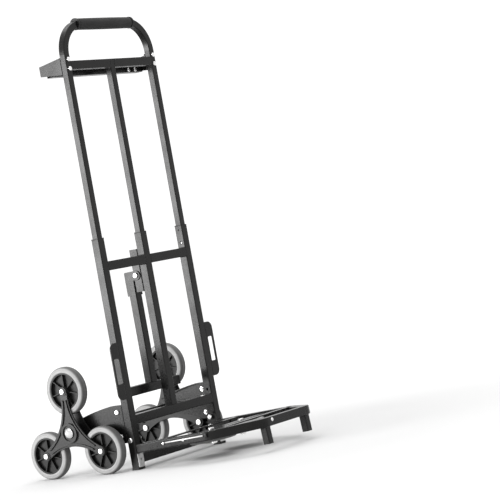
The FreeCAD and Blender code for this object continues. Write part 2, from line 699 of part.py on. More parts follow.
def prop_bracket():
    """An L-shaped channel: two cheeks on the hinge bolt and a web behind the leg."""
    y, z = PROP_PIVOT
    y1 = PROP_Y[0]
    y2 = PROP_Y[1] + 2.5
    edges = [
        Part.makeLine(V(0, y1 - 0.5, 452), V(0, y2, 452)),
        Part.makeLine(V(0, y2, 452), V(0, y2, 513)),
        Part.Arc(V(0, y2, 513), V(0, y2 - 1.2, 517.0), V(0, y2 - 5, 518)).toShape(),
        Part.makeLine(V(0, y2 - 5, 518), V(0, y, z + 13)),
        Part.Arc(V(0, y, z + 13), V(0, y - 13, z), V(0, y, z - 13)).toShape(),
        Part.makeLine(V(0, y, z - 13), V(0, y1 - 0.5, z - 13)),
        Part.makeLine(V(0, y1 - 0.5, z - 13), V(0, y1 - 0.5, 452)),
    ]
    cheek = plate_x(12.9, 15.4, edges).cut(rod("x", (14, y, z), 4.0 + FIT, 20))
    web = box(-12.9, 12.9, y2 - 2.4, y2, 452, 488)
    seats = box(-12.9, -12.5, y1 + 3, y1 + 22, 455, 488).fuse(box(12.5, 12.9, y1 + 3, y1 + 22, 455, 488))
    return cheek.fuse(mirrored(cheek)).fuse(web).fuse(seats)


# ---- write every sub-part ----
def build_frame():
    right = outer_rail()
    save("rail_right", right)
    save("rail_left", mirrored(right))
    save("rail_centre", centre_rail())
    save("guide_bushes", guide_bush(-RAIL_X), guide_bush(0), guide_bush(RAIL_X))
    save("cross_segments", *cross_segments())
    save("cross_full", full_bar(BOTTOM_BAR_Z), full_bar(FOOT_BAR_Z))
    save("foot_caps", foot_cap(-RAIL_X), foot_cap(RAIL_X))
    save("foot_pads", foot_pad(-RAIL_X), foot_pad(RAIL_X))
    save("grab_plates", side_plate(), mirrored(side_plate()))
    save("wings", wing_plate(), mirrored(wing_plate()))
    save("wing_lugs", wing_lug(), mirrored(wing_lug()))
    bolts = wing_bolts()
    save("wing_bolts", *(bolts + [mirrored(b) for b in bolts]))
    save("axle", axle())
    save("axle_caps", axle_cap(), mirrored(axle_cap()))
    save("toe_pivot_bolts", toe_pivot_bolt(), mirrored(toe_pivot_bolt()))
    save("prop_post", prop_post())
    save("prop_pivot_bolt", prop_pivot_bolt())


def build_handle():
    save("handle_tube", handle_tube())
    save("centre_tube", centre_tube())
    save("grip", grip())
    save("grip_rings", grip_ring(-1), grip_ring(1))
    save("head_bars", head_bar(1), head_bar(-1))
    save("hook_plates", hook_plate(), mirrored(hook_plate()))
    save("hook_bar", hook_bar())
    bolts = hook_bolts()
    save("hook_bolts", *(bolts + [mirrored(b) for b in bolts]))
    save("lock_button_right", lock_button(1))
    save("lock_button_left", lock_button(-1))


def build_toe():
    save_toe("toe_sides", toe_side(), mirrored(toe_side()))
    save_toe("toe_corners", toe_corner(), mirrored(toe_corner()))
    save_toe("toe_front", toe_front())
    save_toe("toe_lugs", toe_lug(), mirrored(toe_lug()))
    outline = toe_tube_profile(RAIL, TOE_HIGH - TOE_LOW, 2.5, -1.0)
    loop = toe_path(-1.0).makePipeShell([outline], True, False)
    straps = [toe_strap(y, 24.0, TOE_HIGH - 3.0) for y in (-250.0, -75.0)]
    save_toe("toe_straps", *[strap.cut(loop) for strap in straps])
    save_toe("spare_strap", spare_strap())
    save_toe("toe_feet", toe_foot(-TOE_FOOT_X), toe_foot(TOE_FOOT_X))
    save_toe("toe_foot_caps", toe_foot_cap(-TOE_FOOT_X), toe_foot_cap(TOE_FOOT_X))
    save_toe("spare_bolts", spare_bolt(-SPARE_X), spare_bolt(SPARE_X))
    for name, shape in (("tyre", tyre()), ("rim", rim())):
        flat = shape.copy()
        flat.rotate(V(0, 0, 0), V(0, 1, 0), 90)
        z = SPARE_LOW + WHEEL_W / 2.0
        pair = [flat.translated(V(x, SPARE_Y, z)) for x in (-SPARE_X, SPARE_X)]
        save_toe("spare_" + name + "s", *pair)


def build_stars():
    outer = spider(True)
    inner = spider(False)
    bolts = star_bolts()
    rubber = tyre()
    core = rim()
    for side, flip in (("right", False), ("left", True)):
        turn = mirrored if flip else (lambda s: s)
        save("spider_outer_" + side, turn(outer))
        save("spider_inner_" + side, turn(inner))
        save("star_bolts_" + side, *[turn(b) for b in bolts])
        for letter, arm in zip("abc", ARM_ANGLES):
            y, z = arm_point(arm)
            x = -WHEEL_X if flip else WHEEL_X
            save("tyre_" + side + "_" + letter, rubber.translated(V(x, y, z)))
            save("rim_" + side + "_" + letter, core.translated(V(x, y, z)))


def build_prop():
    save("prop_leg", prop_leg())
    save("prop_foot", prop_foot())
    save("prop_foot_caps", prop_foot_cap(), mirrored(prop_foot_cap()))
    save("prop_bracket", prop_bracket())


build_frame()
build_handle()
build_toe()
build_stars()
build_prop()
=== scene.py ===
import json
import math

import bmesh
import bpy
from mathutils import Matrix, Vector

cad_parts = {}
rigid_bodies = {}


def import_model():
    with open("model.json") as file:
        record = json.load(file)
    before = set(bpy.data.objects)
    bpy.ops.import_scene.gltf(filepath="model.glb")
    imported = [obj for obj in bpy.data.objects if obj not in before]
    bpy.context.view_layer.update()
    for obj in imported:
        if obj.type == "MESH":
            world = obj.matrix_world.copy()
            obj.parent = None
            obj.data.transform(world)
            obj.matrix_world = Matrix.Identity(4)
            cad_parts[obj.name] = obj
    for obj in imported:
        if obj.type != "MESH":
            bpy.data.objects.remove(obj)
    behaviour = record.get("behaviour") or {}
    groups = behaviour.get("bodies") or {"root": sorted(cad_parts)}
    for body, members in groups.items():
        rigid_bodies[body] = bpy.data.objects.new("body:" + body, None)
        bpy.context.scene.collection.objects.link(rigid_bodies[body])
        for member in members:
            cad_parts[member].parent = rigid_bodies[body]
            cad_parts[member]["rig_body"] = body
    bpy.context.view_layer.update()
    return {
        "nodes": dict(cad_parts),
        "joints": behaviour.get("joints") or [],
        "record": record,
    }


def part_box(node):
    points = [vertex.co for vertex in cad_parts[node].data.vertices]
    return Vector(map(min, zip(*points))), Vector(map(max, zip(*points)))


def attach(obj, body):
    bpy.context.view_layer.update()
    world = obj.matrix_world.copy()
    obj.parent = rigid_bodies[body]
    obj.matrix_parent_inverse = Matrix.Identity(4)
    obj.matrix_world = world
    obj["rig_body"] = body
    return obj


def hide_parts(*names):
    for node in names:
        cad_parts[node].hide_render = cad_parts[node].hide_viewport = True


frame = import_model()
MM = 0.001
POLE_RADIUS = 1e-7
TYRE_STEPS = 112


# ---------------------------------------------------------------- node helpers
class Nodes:
    """Builds one material, keeping the node wiring short."""

    def __init__(self, name):
        self.mat = bpy.data.materials.new(name)
        self.mat.use_nodes = True
        self.tree = self.mat.node_tree
        self.tree.nodes.clear()
        self.out = self.add("ShaderNodeOutputMaterial")
        self.bsdf = self.add("ShaderNodeBsdfPrincipled")
        self.link(self.bsdf.outputs[0], self.out.inputs[0])
        self.where = self.add("ShaderNodeTexCoord").outputs["Object"]

    def add(self, kind, **values):
        node = self.tree.nodes.new(kind)
        for key, value in values.items():
            setattr(node, key, value)
        return node

    def link(self, a, b):
        self.tree.links.new(a, b)

    def noise(self, scale, detail=3.0, rough=0.55, stretch=None):
        node = self.add("ShaderNodeTexNoise")
        node.inputs["Scale"].default_value = scale
        node.inputs["Detail"].default_value = detail
        node.inputs["Roughness"].default_value = rough
        source = self.where
        if stretch:
            shape = self.add("ShaderNodeMapping")
            shape.inputs["Scale"].default_value = stretch
            self.link(source, shape.inputs[0])
            source = shape.outputs[0]
        self.link(source, node.inputs["Vector"])
        return node.outputs["Fac"]

    def cells(self, scale, feature="F1"):
        node = self.add("ShaderNodeTexVoronoi", feature=feature)
        node.inputs["Scale"].default_value = scale
        self.link(self.where, node.inputs["Vector"])
        return node.outputs["Distance"]

    def span(self, value, a, b, c=0.0, d=1.0):
        """Maps value from a..b to c..d, clamped."""
        node = self.add("ShaderNodeMapRange")
        for i, x in enumerate((a, b, c, d)):
            node.inputs[i + 1].default_value = x
        self.link(value, node.inputs[0])
        return node.outputs[0]

    def math(self, op, a, b):
        node = self.add("ShaderNodeMath", operation=op)
        for i, x in enumerate((a, b)):
            if isinstance(x, (int, float)):
                node.inputs[i].default_value = x
            else:
                self.link(x, node.inputs[i])
        return node.outputs[0]

    def mix(self, fac, a, b):
        node = self.add("ShaderNodeMix", data_type="RGBA")
        if isinstance(fac, (int, float)):
            node.inputs[0].default_value = fac
        else:
            self.link(fac, node.inputs[0])
        for i, x in ((6, a), (7, b)):
            if isinstance(x, tuple):
                node.inputs[i].default_value = x
            else:
                self.link(x, node.inputs[i])
        return node.outputs[2]

    def softened(self, radius):
        """The surface normal with sharp edges rounded over by radius."""
        node = self.add("ShaderNodeBevel", samples=4)
        node.inputs["Radius"].default_value = radius
        return node.outputs[0]

    def edges(self, radius):
        """A mask that is 1 on sharp edges, and the softened normal."""
        soft = self.softened(radius)
        flat = self.add("ShaderNodeNewGeometry").outputs["Normal"]
        dot = self.add("ShaderNodeVectorMath", operation="DOT_PRODUCT")
        self.link(soft, dot.inputs[0])
        self.link(flat, dot.inputs[1])
        bend = self.math("SUBTRACT", 1.0, dot.outputs["Value"])
        return self.span(bend, 0.004, 0.12), soft

    def bump(self, height, strength, distance, normal=None):
        node = self.add("ShaderNodeBump")
        node.inputs["Strength"].default_value = strength
        node.inputs["Distance"].default_value = distance
        self.link(height, node.inputs["Height"])
        if normal is not None:
            self.link(normal, node.inputs["Normal"])
        return node.outputs[0]

    def set(self, **values):
        """Gives the surface its values or links, and returns the material."""
        names = {"color": "Base Color", "metal": "Metallic", "rough": "Roughness",
                 "spec": "Specular IOR Level", "normal": "Normal",
                 "sheen": "Sheen Weight", "sheen_rough": "Sheen Roughness"}
        for key, value in values.items():
            socket = self.bsdf.inputs[names[key]]
            if isinstance(value, (int, float, tuple)):
                socket.default_value = value
            else:
                self.link(value, socket)
        return self.mat


def grey(v, warm=0.0):
    """A grey, a little warmer with more red and less blue."""
    return (v + warm, v, v - warm, 1.0)


# ---------------------------------------------------------------- materials
def powder_coat(name, base, dust, rough):
    """Semi-gloss black powder coat: orange peel, faint dust, edges paler from rubbed wear and from a
    painted highlight.
    """
    n = Nodes(name)
    cloud = n.noise(14.0, 5.0, 0.6)
    fine = n.noise(420.0, 2.0, 0.5)
    peel = n.cells(620.0, "SMOOTH_F1")
    rubs = n.noise(260.0, 4.0, 0.7, (1.0, 1.0, 0.12))
    edge, soft = n.edges(0.0011)
    # Every sharp edge is painted paler: a painted highlight along all edges, stronger where the noise
    # marks rubbed wear.
    edge_wear_and_highlight = n.math("MULTIPLY", edge, n.span(n.noise(90.0, 4.0, 0.7), 0.42, 0.62, 0.3, 1.0))
    colour = n.mix(n.span(cloud, 0.35, 0.7), grey(base), grey(base + dust, 0.0004))
    colour = n.mix(n.span(rubs, 0.56, 0.72, 0.0, 0.35), colour, grey(base * 2.2 + 0.006))
    colour = n.mix(n.math("MULTIPLY", edge_wear_and_highlight, 0.55), colour, grey(0.16, 0.004))
    gloss = n.math("ADD", n.span(cloud, 0.3, 0.7, rough - 0.05, rough + 0.08),
                   n.span(fine, 0.3, 0.7, -0.05, 0.05))
    height = n.math("ADD", peel, n.math("MULTIPLY", fine, 0.5))
    return n.set(color=colour, rough=gloss, spec=0.2,
                 normal=n.bump(height, 0.32, 0.00022, soft))


def zinc_plate(name, base, rough, tint=0.0):
    """Bright zinc or nickel plate: faint brush lines, a little bloom and grime."""
    n = Nodes(name)
    bloom = n.noise(120.0, 5.0, 0.65)
    brush = n.noise(700.0, 2.0, 0.5, (0.15, 1.0, 1.0))
    pits = n.cells(900.0)
    soft = n.softened(0.0006)
    colour = n.mix(n.span(bloom, 0.35, 0.7), grey(base, tint), grey(base * 0.78, tint))
    colour = n.mix(n.span(pits, 0.0, 0.16, 0.4, 0.0), colour, grey(0.25, 0.01))
    gloss = n.math("ADD", n.span(bloom, 0.3, 0.75, rough - 0.04, rough + 0.12),
                   n.span(brush, 0.3, 0.7, -0.04, 0.05))
    return n.set(color=colour, metal=1.0, rough=gloss,
                 normal=n.bump(brush, 0.18, 0.00012, soft))


def polished(name):
    """Polished chrome cap with a few hairlines."""
    n = Nodes(name)
    haze = n.noise(60.0, 4.0, 0.6)
    hair = n.noise(500.0, 3.0, 0.6, (1.0, 0.08, 1.0))
    colour = n.mix(n.span(haze, 0.4, 0.7), grey(0.82), grey(0.72))
    gloss = n.math("ADD", n.span(haze, 0.35, 0.75, 0.06, 0.16), n.span(hair, 0.55, 0.75, 0.0, 0.1))
    return n.set(color=colour, metal=1.0, rough=gloss, normal=n.bump(hair, 0.08, 0.00008))


def moulded(name, base, rough, spec, grain=1100.0):
    """Injection-moulded plastic: spark-eroded grain, flow marks, paler edges."""
    n = Nodes(name)
    flow = n.noise(30.0, 4.0, 0.6, (1.0, 1.0, 0.4))
    erode = n.noise(grain, 2.0, 0.6)
    dots = n.cells(grain * 0.7)
    edge, soft = n.edges(0.0010)
    colour = n.mix(n.span(flow, 0.35, 0.7), grey(base), grey(base * 1.35 + 0.003, 0.0003))
    colour = n.mix(n.math("MULTIPLY", edge, 0.45), colour, grey(base * 2.6 + 0.03))
    gloss = n.math("ADD", n.span(flow, 0.3, 0.7, rough - 0.06, rough + 0.07),
                   n.span(erode, 0.3, 0.7, -0.05, 0.05))
    height = n.math("ADD", erode, n.math("MULTIPLY", dots, 0.7))
    return n.set(color=colour, rough=gloss, spec=spec, normal=n.bump(height, 0.3, 0.00012, soft))


def tyre_rubber(name):
    """Pale grey non-marking rubber: dull, the tread darkened by painted shade, some dirt, fine
    texture.
    """
    n = Nodes(name)
    cloud = n.noise(45.0, 5.0, 0.65)
    speck = n.noise(900.0, 2.0, 0.6)
    dirt = n.noise(150.0, 6.0, 0.75)
    soft = n.softened(0.0012)
    mark = n.add("ShaderNodeAttribute", attribute_name="tread").outputs["Fac"]
    colour = n.mix(n.span(cloud, 0.35, 0.7), grey(0.29, 0.0006), grey(0.25, 0.001))
    # The tread is painted much darker than the sides: painted shade for the tread turned from the key
    # light, mottled by dirt noise.
    tread_shade_and_dirt = n.mix(n.span(dirt, 0.3, 0.7), grey(0.115, 0.0005), grey(0.082, 0.001))
    colour = n.mix(mark, colour, tread_shade_and_dirt)
    colour = n.mix(n.span(dirt, 0.60, 0.72, 0.0, 0.4), colour, grey(0.10, 0.002))
    gloss = n.math("ADD", n.span(cloud, 0.3, 0.7, 0.52, 0.66), n.span(speck, 0.3, 0.7, -0.04, 0.04))
    height = n.math("ADD", speck, n.math("MULTIPLY", dirt, 0.6))
    return n.set(color=colour, rough=gloss, spec=0.35, normal=n.bump(height, 0.3, 0.00016, soft))


def foam(name):
    """Closed-cell foam rubber: open pores, matt, faint lengthwise wear."""
    n = Nodes(name)
    pores = n.cells(620.0)
    small = n.noise(1300.0, 3.0, 0.6)
    wear = n.noise(55.0, 4.0, 0.6, (0.25, 1.0, 1.0))
    colour = n.mix(n.span(pores, 0.0, 0.5), grey(0.004), grey(0.020, 0.0003))
    colour = n.mix(n.span(wear, 0.45, 0.75, 0.0, 0.6), colour, grey(0.030, 0.0005))
    gloss = n.span(wear, 0.3, 0.75, 0.78, 0.62)
    height = n.math("ADD", pores, n.math("MULTIPLY", small, 0.4))
    return n.set(color=colour, rough=gloss, spec=0.15, sheen=0.03, sheen_rough=0.5,
                 normal=n.bump(height, 0.55, 0.0003))


def weld_metal(name):
    """Weld bead under the same black coat: ripples, glossier crowns."""
    n = Nodes(name)
    ripple = n.noise(380.0, 3.0, 0.6)
    colour = n.mix(n.span(ripple, 0.35, 0.7), grey(0.005), grey(0.016, 0.0003))
    return n.set(color=colour, rough=n.span(ripple, 0.3, 0.7, 0.26, 0.45), spec=0.25,
                 normal=n.bump(ripple, 0.4, 0.0003))


FINISH = {
    "frame_powder": powder_coat("powder_frame", base=0.003, dust=0.0035, rough=0.27),
    "handle_powder": powder_coat("powder_handle", base=0.0035, dust=0.004, rough=0.26),
    "zinc": zinc_plate("zinc_bolts", base=0.86, rough=0.20, tint=0.004),
    "chrome_cap": polished("chrome_cap"),
    "button_steel": zinc_plate("nickel_button", base=0.80, rough=0.16),
    "black_plastic": moulded("plastic_black", base=0.004, rough=0.42, spec=0.2),
    "grip_foam": foam("foam_grip"),
    "tyre_grey": tyre_rubber("rubber_tyre"),
    "rim_black": moulded("plastic_rim", base=0.005, rough=0.42, spec=0.18),
    "spider_black": moulded("nylon_spider", base=0.007, rough=0.34, spec=0.22, grain=900.0),
}
PAD = zinc_plate("pad_zinc", base=0.62, rough=0.45, tint=0.003)
WELD = weld_metal("weld_coated")


# ---------------------------------------------------------------- mesh helpers
def smooth(obj, angle):
    for p in obj.data.polygons:
        p.use_smooth = True
    obj.data.set_sharp_from_angle(angle=math.radians(angle))


def face_outward(obj):
    bm = bmesh.new()
    bm.from_mesh(obj.data)
    bmesh.ops.recalc_face_normals(bm, faces=bm.faces)
    bm.to_mesh(obj.data)
    bm.free()


def piece(name, verts, faces, body, slot, angle, material=None):
    """One visual piece that rides on a body; edges sharper than angle stay sharp."""
    mesh = bpy.data.meshes.new(name)
    mesh.from_pydata([tuple(v) for v in verts], [], faces)
    mesh.update()
    obj = bpy.data.objects.new(name, mesh)
    bpy.context.scene.collection.objects.link(obj)
    mesh.materials.append(material or FINISH[slot])
    smooth(obj, angle)
    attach(obj, body)
    face_outward(obj)
    return obj


def merge(parts):
    """Joins (verts, faces) pairs into one."""
    verts, faces = [], []
    for v, f in parts:
        k = len(verts)
        verts += v
        faces += [tuple(i + k for i in face) for face in f]
    return verts, faces


def basis(axis):
    """The unit vector of an axis and two more square to it."""
    a = Vector(axis).normalized()
    b = a.orthogonal().normalized()
    return a, b, a.cross(b)


def lathe(profile, centre, axis, steps):
    """Turns (along, radius) points about an axis; a radius of 0 makes a pole.

    When neither end is a pole, the profile is closed from its last point to its first.
    """
    a, b, c = basis(axis)
    verts, faces, rings = [], [], []
    for along, radius in profile:
        if radius < POLE_RADIUS:
            rings.append([len(verts)])
            verts.append(Vector(centre) + a * along)
            continue
        ring = []
        for i in range(steps):
            t = 2 * math.pi * i / steps
            ring.append(len(verts))
            verts.append(Vector(centre) + a * along + (b * math.cos(t) + c * math.sin(t)) * radius)
        rings.append(ring)
    closed = len(rings[0]) > 1 and len(rings[-1]) > 1
    pairs = list(zip(rings, rings[1:])) + ([(rings[-1], rings[0])] if closed else [])
    for r, s in pairs:
        for i in range(steps):
            j = (i + 1) % steps
            if len(r) == 1:
                faces.append((r[0], s[j], s[i]))
            elif len(s) == 1:
                faces.append((r[i], r[j], s[0]))
            else:
                faces.append((r[i], r[j], s[j], s[i]))
    return verts, faces


# ---------------------------------------------------------------- the toe's tilt
# The toe rests a few degrees above level. Its details are worked out as if it were level
# and then turned about the hinge, like the toe itself.
toe_fold = next(j for j in frame["joints"] if j["name"] == "toe_fold")
HINGE = Vector(toe_fold["pos_m"])
RISE = math.radians(90.0 - toe_fold["range_deg"][1])
RAISE = Matrix.Translation(HINGE) @ Matrix.Rotation(-RISE, 4, "X") @ Matrix.Translation(-HINGE)
LEVEL = RAISE.inverted()


def level_box(node):
    """The box of a toe node with the toe turned level."""
    points = [LEVEL @ v.co for v in frame["nodes"][node].data.vertices]
    lo = Vector([min(p[i] for p in points) for i in range(3)])
    hi = Vector([max(p[i] for p in points) for i in range(3)])
    return lo, hi


def raised(verts):
    return [RAISE @ Vector(v) for v in verts]


# ---------------------------------------------------------------- finish of the CAD nodes
def finish_nodes():
    slots = {s["node"]: s["material_slot"] for s in frame["record"]["subparts"]}
    for name, obj in frame["nodes"].items():
        finish = PAD if name == "foot_pads" else FINISH[slots[name]]
        obj.data.materials.clear()
        obj.data.materials.append(finish)
        for p in obj.data.polygons:
            p.material_index = 0
        smooth(obj, 30.0)


# ---------------------------------------------------------------- tyres
def tyre_profile(width, radius, inner):
    """(across, tread, radius) points in mm, with tread 1 where the tyre meets the floor.

    From a side to the middle: flat ring, fine groove, shoulder, tread groove; then mirrored.
    """
    h = width / 2
    half = [(h - 1.0, 0.0, inner), (h - 0.3, 0.0, inner + 0.8), (h, 0.0, inner + 2.0),
            (h, 0.0, radius - 8.6), (h - 0.5, 0.0, radius - 8.0), (h - 0.5, 0.0, radius - 7.4),
            (h - 0.05, 0.0, radius - 6.8), (h - 0.5, 0.1, radius - 4.6), (h - 1.5, 0.5, radius - 2.8),
            (h - 3.2, 1.0, radius - 1.3), (h - 5.2, 1.0, radius - 0.55), (h - 6.4, 1.0, radius - 0.3),
            (h - 6.8, 1.0, radius - 1.0), (h - 7.6, 1.0, radius - 1.0), (h - 8.0, 1.0, radius - 0.15),
            (0.35, 1.0, radius - 0.02), (0.0, 1.0, radius)]
    other = [(-x, m, r) for x, m, r in reversed(half[:-1])]
    return half + other


def tyre(name, nodes, centres, axis, width, radius, inner, body):
    """A turned tyre round each centre, in place of the plain CAD ones."""
    profile = tyre_profile(width / MM, radius / MM, inner / MM)
    line = [(x * MM, r * MM) for x, _, r in profile]
    verts, faces = merge([lathe(line, c, axis, TYRE_STEPS) for c in centres])
    obj = piece(name, verts, faces, body, "tyre_grey", 40.0)
    layer = obj.data.attributes.new("tread", "FLOAT", "POINT")
    marks = [m for _, m, _ in profile for _ in range(TYRE_STEPS)] * len(centres)
    layer.data.foreach_set("value", marks)
    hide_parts(*nodes)


def wheel_tyres():
    for side in ("right", "left"):
        for letter in "abc":
            node = f"tyre_{side}_{letter}"
            lo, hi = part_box(node)
            rim_lo, rim_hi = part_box(f"rim_{side}_{letter}")
            tyre(f"tread_{side}_{letter}", [node], [(lo + hi) / 2], (1, 0, 0), hi.x - lo.x,
                 (hi.z - lo.z) / 2, (rim_hi.z - rim_lo.z) / 2, frame["nodes"][node]["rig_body"])


def spare_tyres():
    """The two spare wheels' tyres, side by side and flat in the toe."""
    lo, hi = level_box("spare_tyres")
    rim_lo, rim_hi = level_box("spare_rims")
    radius = (hi.y - lo.y) / 2
    mid = (lo + hi) / 2
    centres = raised([(lo.x + radius, mid.y, mid.z), (hi.x - radius, mid.y, mid.z)])
    axis = RAISE.to_3x3() @ Vector((0, 0, 1))
    tyre("tread_spares", ["spare_tyres"], centres, axis, hi.z - lo.z, radius,
         (rim_hi.y - rim_lo.y) / 2, "toe")


# ---------------------------------------------------------------- foam grip
GRIP_CROWN = 0.0006        # how much fatter the sleeve is in the middle
GRIP_LIP = 0.0022          # how far its ends round over
GRIP_LIP_LENGTH = 0.0025
GRIP_RECESS = 0.0008       # how far the bore's mouth is set back
GRIP_STEPS = 24
TUBE_GAP = 0.0003
CORNER_RATIO = 1.42        # a square's half diagonal over its half side, rounded up


def grip():
    """A crowned foam sleeve whose ends round over towards the bore."""
    lo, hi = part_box("grip")
    centre = (lo + hi) / 2
    half = (hi.x - lo.x) / 2
    radius = (hi.z - lo.z) / 2 - GRIP_CROWN
    bore = (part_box("centre_tube")[1].x + TUBE_GAP) * CORNER_RATIO
    skin = []
    for i in range(GRIP_STEPS + 1):
        t = i / GRIP_STEPS
        x = -half + 2 * half * t
        end = min(t, 1 - t) * 2 * half
        lip = GRIP_LIP * max(0.0, 1 - end / GRIP_LIP_LENGTH) ** 2
        crown = GRIP_CROWN * math.sin(math.pi * t)
        skin.append((x, radius + crown - lip))
        if i in (0, GRIP_STEPS):
            inward = GRIP_LIP if i == 0 else -GRIP_LIP
            skin.append((x + inward, radius + crown))
    skin.sort(key=lambda p: p[0])
    line = [(-half + GRIP_RECESS, bore)] + skin + [(half - GRIP_RECESS, bore)]
    verts, faces = lathe(line, centre, (1, 0, 0), 64)
    obj = piece("grip_sleeve", verts, faces, "handle", "grip_foam", 50.0)
    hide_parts("grip")


# ---------------------------------------------------------------- weld beads
BEAD_RADIUS = 0.0016
THIN_BEAD = 0.0013
BEAD_PITCH = 0.0021        # from one ripple to the next
BEAD_END = 0.0002          # each pole stands this far off the first ring
RAIL_CORNER = 0.0025       # beads stop this far short of a rail's corners
LEG_CORNER = 0.003
STRAP_CORNER = 0.001
STRAP_WIDTH = 0.020
STRAP_SINK = 0.0004
GRAB_BEAD_START = 0.022    # above the foot of the grab plate
GRAB_BEAD_STEP = 0.046
GRAB_BEAD_LENGTH = 0.018


def bead(p, q, radius=BEAD_RADIUS):
    """A rippled round bead from p to q, sunk half into the corner."""
    p, q = Vector(p), Vector(q)
    length = (q - p).length
    count = max(4, int(length / BEAD_PITCH) * 4)
    line = [(0.0, 0.0)]
    for i in range(count + 1):
        t = i / count
        taper = min(1.0, 6.0 * min(t, 1 - t) + 0.45)
        wave = 0.86 + 0.14 * abs(math.sin(math.pi * t * length / BEAD_PITCH))
        line.append((BEAD_END + t * (length - 2 * BEAD_END), radius * taper * wave))
    line.append((length, 0.0))
    return lathe(line, p, q - p, 10)


def frame_welds():
    """Beads at both cross bars, the foot bar and the grab plates."""
    rail_lo, rail_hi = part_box("rail_right")
    bars_lo, bars_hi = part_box("cross_segments")
    full_lo, full_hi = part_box("cross_full")
    plate_lo, plate_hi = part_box("grab_plates")
    mid_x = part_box("rail_centre")[1].x
    tube = rail_hi.x - rail_lo.x
    y0, y1 = rail_lo.y + RAIL_CORNER, rail_hi.y - RAIL_CORNER
    spots = []
    for z in (bars_lo.z, bars_hi.z):
        for x in (-rail_lo.x, -mid_x, mid_x, rail_lo.x):
            spots.append(bead((x, y0, z), (x, y1, z)))
    for z in (full_hi.z, full_hi.z - tube, full_lo.z + tube):
        for x in (-rail_lo.x, rail_lo.x):
            spots.append(bead((x, y0, z), (x, y1, z)))
    for x in (-rail_hi.x, rail_hi.x):
        for k in range(3):
            z = plate_lo.z + GRAB_BEAD_START + k * GRAB_BEAD_STEP
            spots.append(bead((x, plate_hi.y, z), (x, plate_hi.y, z + GRAB_BEAD_LENGTH), 0.0014))
    piece("weld_beads_frame", *merge(spots), "frame", "frame_powder", 60.0, WELD)


def prop_welds():
    """Beads round the leg where it stands on its cross foot."""
    lo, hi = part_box("prop_leg")
    spots = []
    for y in (lo.y, hi.y):
        spots.append(bead((lo.x + LEG_CORNER, y, lo.z), (hi.x - LEG_CORNER, y, lo.z), THIN_BEAD))
    for x in (lo.x, hi.x):
        spots.append(bead((x, lo.y + LEG_CORNER, lo.z), (x, hi.y - LEG_CORNER, lo.z)))
    piece("weld_beads_prop", *merge(spots), "prop", "frame_powder", 60.0, WELD)


def toe_welds():
    """Beads at the ends of the straps and at the tops of the toe's feet."""
    spots = []
    for node, places in (("toe_straps", (0.0, 1.0)), ("spare_strap", (0.5,))):
        lo, hi = level_box(node)
        for place in places:
            y = lo.y + place * (hi.y - lo.y - STRAP_WIDTH)
            for s in (-1, 1):
                x = s * (hi.x - STRAP_SINK)
                for z in (lo.z, hi.z):
                    start = (x, y + STRAP_CORNER, z)
                    end = (x, y + STRAP_WIDTH - STRAP_CORNER, z)
                    spots.append(bead(start, end, 0.0012))
    feet_lo, feet_hi = level_box("toe_feet")
    under = level_box("toe_front")[0].z
    wide = feet_hi.y - feet_lo.y
    for s in (-1, 1):
        x1 = s * feet_hi.x
        x0 = x1 - s * wide
        for y in (feet_lo.y, feet_hi.y):
            spots.append(bead((x0, y, under), (x1, y, under), THIN_BEAD))
    verts, faces = merge(spots)
    piece("weld_beads_toe", raised(verts), faces, "toe", "frame_powder", 60.0, WELD)


# ---------------------------------------------------------------- small hardware
HEAD_DOME = [(1.0, 0.0), (1.0, 0.35), (0.93, 0.62), (0.80, 0.83), (0.62, 0.95), (0.46, 0.99)]
HEAD_CROSS = [(1.0, 0.99), (0.86, 0.55)]     # (size, height) at the mouth and at the bottom
HEAD_STEPS = 32
HOOK_SCREW_X = (0.128, 0.157)
HOOK_SCREW_DROP = 0.004    # below the middle of the hook bar
RUNNER_START = 0.1135      # distances in front of the toe hinge
RUNNER_END = 0.2415
RUNNER_RIVETS = (0.1065, 0.1745)
RUNNER_BLOCK = 0.2505
RUNNER_RADIUS = 0.0021
RUNNER_CHAMFER = 0.0006
BLOCK_SIZE = (0.0056, 0.009, 0.011)


def pan_head(centre, axis, radius, height):
    """A domed screw head with a sunk cross recess."""
    a, b, c = basis(axis)
    centre = Vector(centre)
    turns = [2 * math.pi * i / HEAD_STEPS for i in range(HEAD_STEPS)]
    ways = [b * math.cos(t) + c * math.sin(t) for t in turns]
    verts = [centre + a * height * h + way * radius * r for r, h in HEAD_DOME for way in ways]
    for size, h in HEAD_CROSS:
        for t, way in zip(turns, ways):
            reach = (0.12 + 0.30 * abs(math.cos(2 * t)) ** 3) * size
            verts.append(centre + a * height * h + way * radius * reach)
    faces = []
    last_ring = len(verts) - HEAD_STEPS
    for k in range(0, last_ring, HEAD_STEPS):
        for i in range(HEAD_STEPS):
            j = (i + 1) % HEAD_STEPS
            faces.append((k + i, k + j, k + HEAD_STEPS + j, k + HEAD_STEPS + i))
    bottom = len(verts)
    verts.append(centre + a * height * 0.5)
    verts.append(centre)
    for i in range(HEAD_STEPS):
        j = (i + 1) % HEAD_STEPS
        faces.append((last_ring + i, last_ring + j, bottom))
        faces.append((j, i, bottom + 1))
    return verts, faces


def hook_screws():
    """Two screws in the hook bar's front face, near its right-hand end."""
    lo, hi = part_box("hook_bar")
    z = (lo.z + hi.z) / 2 - HOOK_SCREW_DROP
    heads = [pan_head((x, lo.y, z), (0, -1, 0), 0.0055, 0.0028) for x in HOOK_SCREW_X]
    piece("hook_screws", *merge(heads), "handle", "zinc", 40.0)


def runner_rod(x, z):
    """A bright rod along the toe's side, its ends chamfered."""
    length = RUNNER_END - RUNNER_START
    small = RUNNER_RADIUS - 0.0005
    line = [(0.0, 0.0), (0.0, small), (RUNNER_CHAMFER, RUNNER_RADIUS),
            (length - RUNNER_CHAMFER, RUNNER_RADIUS), (length, small), (length, 0.0)]
    return lathe(line, (x, HINGE.y - RUNNER_START, z), (0, -1, 0), 16)


